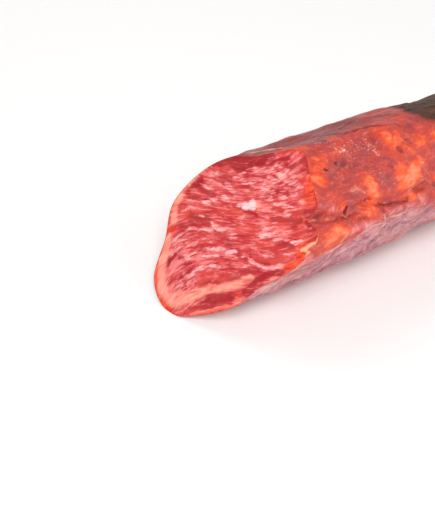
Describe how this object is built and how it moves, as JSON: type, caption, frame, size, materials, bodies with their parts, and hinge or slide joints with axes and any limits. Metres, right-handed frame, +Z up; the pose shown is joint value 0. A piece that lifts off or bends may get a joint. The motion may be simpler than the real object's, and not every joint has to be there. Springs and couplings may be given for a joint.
{
  "type": "cured pork loin",
  "caption": "Piece of dry-cured pork loin in natural casing: slanted marbled cut face at one end, gathered casing at the other, lying on its underside.",
  "frame": {"origin": "middle of the bounding box at its base, on the surface the piece lies on", "axes": "+X along the piece from the slanted cut to the gathered end, +Y across it, +Z up"},
  "size_m": [0.2674, 0.0758, 0.0749],
  "materials": {
    "casing": "thin dry natural casing over red meat, mauve to orange-red, slightly glossy, finely wrinkled",
    "cut_meat": "moist cut cured pork, mid red with pink-white marbling and an orange-red stained rim"
  },
  "bodies": {
    "root": {"cured_loin": "casing"}
  },
  "joints": []
}
